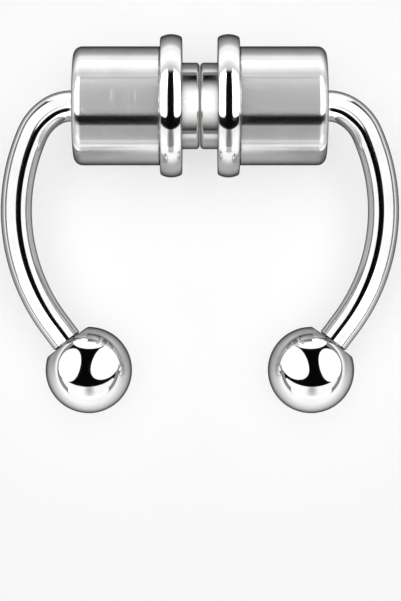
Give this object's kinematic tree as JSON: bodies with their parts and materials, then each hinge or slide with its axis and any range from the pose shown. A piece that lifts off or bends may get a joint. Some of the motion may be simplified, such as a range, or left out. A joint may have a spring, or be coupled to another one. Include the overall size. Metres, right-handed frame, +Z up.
{
  "type": "magnetic horseshoe barbell",
  "caption": "Clip-on horseshoe barbell: polished cups hold disc magnets that meet in the middle, and a bent bar leads round from each cup to a screwed-on ball.",
  "frame": {"origin": "on the surface that the part lies on, under the centre of its box: it lies flat, on the rims of its two cups and on its two balls", "axes": "+X along the magnets' axis towards the right half, -Y towards the balls and the mouth of the horseshoe, +Z up"},
  "size_m": [0.0148, 0.014, 0.0053],
  "materials": {
    "cup_steel": "turned surgical steel, polished round the barrel",
    "magnet_nickel": "bright nickel plating on a sintered magnet",
    "bar_steel": "mirror-polished surgical steel wire",
    "ball_steel": "mirror-polished surgical steel"
  },
  "bodies": {
    "left_half": {"left_cup": "cup_steel", "left_magnet": "magnet_nickel", "left_bar": "bar_steel"},
    "left_ball": {"left_ball": "ball_steel"},
    "right_magnet": {"right_magnet": "magnet_nickel"},
    "right_half": {"right_cup": "cup_steel", "right_bar": "bar_steel"},
    "right_ball": {"right_ball": "ball_steel"}
  },
  "joints": [
    {"name": "pull_apart", "type": "slide", "parent": "left_half", "child": "right_magnet", "axis": [1, 0, 0], "range_m": [0, 0.008], "stiffness_N_per_m": 0.5, "springref_m": -0.03},
    {"name": "swivel", "type": "hinge", "parent": "right_magnet", "child": "right_half", "pos_m": [0, 0.00434, 0.00265], "axis": [-1, 0, 0], "continuous": true},
    {"name": "left_ball_off", "type": "slide", "parent": "left_half", "child": "left_ball", "axis": [0.6018, -0.794, -0.0857], "range_m": [0, 0.0018]},
    {"name": "right_ball_off", "type": "slide", "parent": "right_half", "child": "right_ball", "axis": [-0.6018, -0.794, -0.0857], "range_m": [0, 0.0018]}
  ]
}
